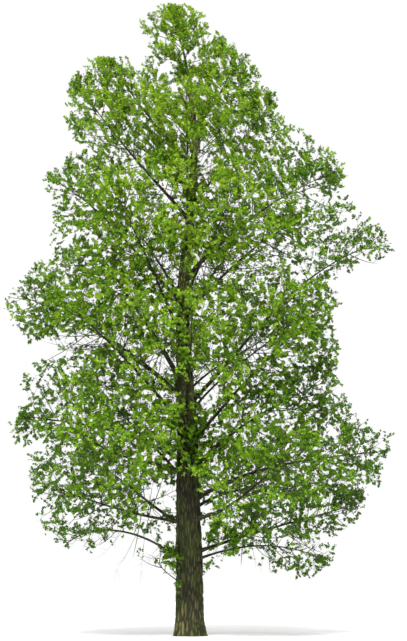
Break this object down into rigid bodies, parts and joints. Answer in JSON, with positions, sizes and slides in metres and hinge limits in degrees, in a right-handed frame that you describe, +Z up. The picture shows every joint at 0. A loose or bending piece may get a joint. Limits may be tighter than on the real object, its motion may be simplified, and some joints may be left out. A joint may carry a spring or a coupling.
{
  "type": "hybrid poplar tree",
  "caption": "Mature hybrid poplar in full leaf: a tall straight trunk with a flared foot, rising boughs and an irregular, broadly conical crown of open foliage.",
  "frame": {"origin": "the middle of the flat cut under the trunk, at ground level", "axes": "+Z up along the trunk; +X to the right and +Y away from the viewer in the picture's view"},
  "size_m": [14.7526, 12.3642, 24.9684],
  "materials": {
    "bark": "rough grey-brown bark in long furrows, mossy green in places",
    "young_bark": "rough brown-grey bark",
    "leaves": "satin mid-green leaves, lighter where the light falls"
  },
  "bodies": {
    "root": {"back_high_left_foliage": "leaves", "back_high_right_foliage": "leaves", "back_low_foliage": "leaves", "back_low_left_bough": "young_bark", "back_low_left_foliage": "leaves", "back_low_right_bough": "young_bark", "back_low_right_foliage": "leaves", "back_mid_left_foliage": "leaves", "back_mid_right_foliage": "leaves", "back_upper_foliage": "leaves", "front_high_left_foliage": "leaves", "front_high_right_foliage": "leaves", "front_low_left_bough": "young_bark", "front_low_left_foliage": "leaves", "front_low_right_bough": "young_bark", "front_low_right_foliage": "leaves", "front_mid_foliage": "leaves", "front_mid_left_foliage": "leaves", "front_mid_right_foliage": "leaves", "front_upper_foliage": "leaves", "leader_foliage": "leaves", "left_fork_bough": "young_bark", "left_fork_foliage": "leaves", "left_high_bough": "young_bark", "left_high_foliage": "leaves", "left_low_bough": "young_bark", "left_low_foliage": "leaves", "left_mid_bough": "young_bark", "left_mid_foliage": "leaves", "left_rising_bough": "young_bark", "left_rising_foliage": "leaves", "left_upper_foliage": "leaves", "left_wide_bough": "young_bark", "left_wide_foliage": "leaves", "low_left_bough": "young_bark", "low_left_foliage": "leaves", "low_right_bough": "young_bark", "low_right_foliage": "leaves", "low_sprout_foliage": "leaves", "right_far_bough": "young_bark", "right_far_foliage": "leaves", "right_fork_bough": "young_bark", "right_fork_foliage": "leaves", "right_high_bough": "young_bark", "right_high_foliage": "leaves", "right_inner_bough": "young_bark", "right_inner_foliage": "leaves", "right_low_bough": "young_bark", "right_low_foliage": "leaves", "right_mid_bough": "young_bark", "right_mid_foliage": "leaves", "right_near_foliage": "leaves", "right_top_foliage": "leaves", "right_upper_foliage": "leaves", "right_wide_bough": "young_bark", "right_wide_foliage": "leaves", "shoulder_foliage": "leaves", "trunk": "bark", "trunk_sprouts_foliage": "leaves"}
  },
  "joints": []
}
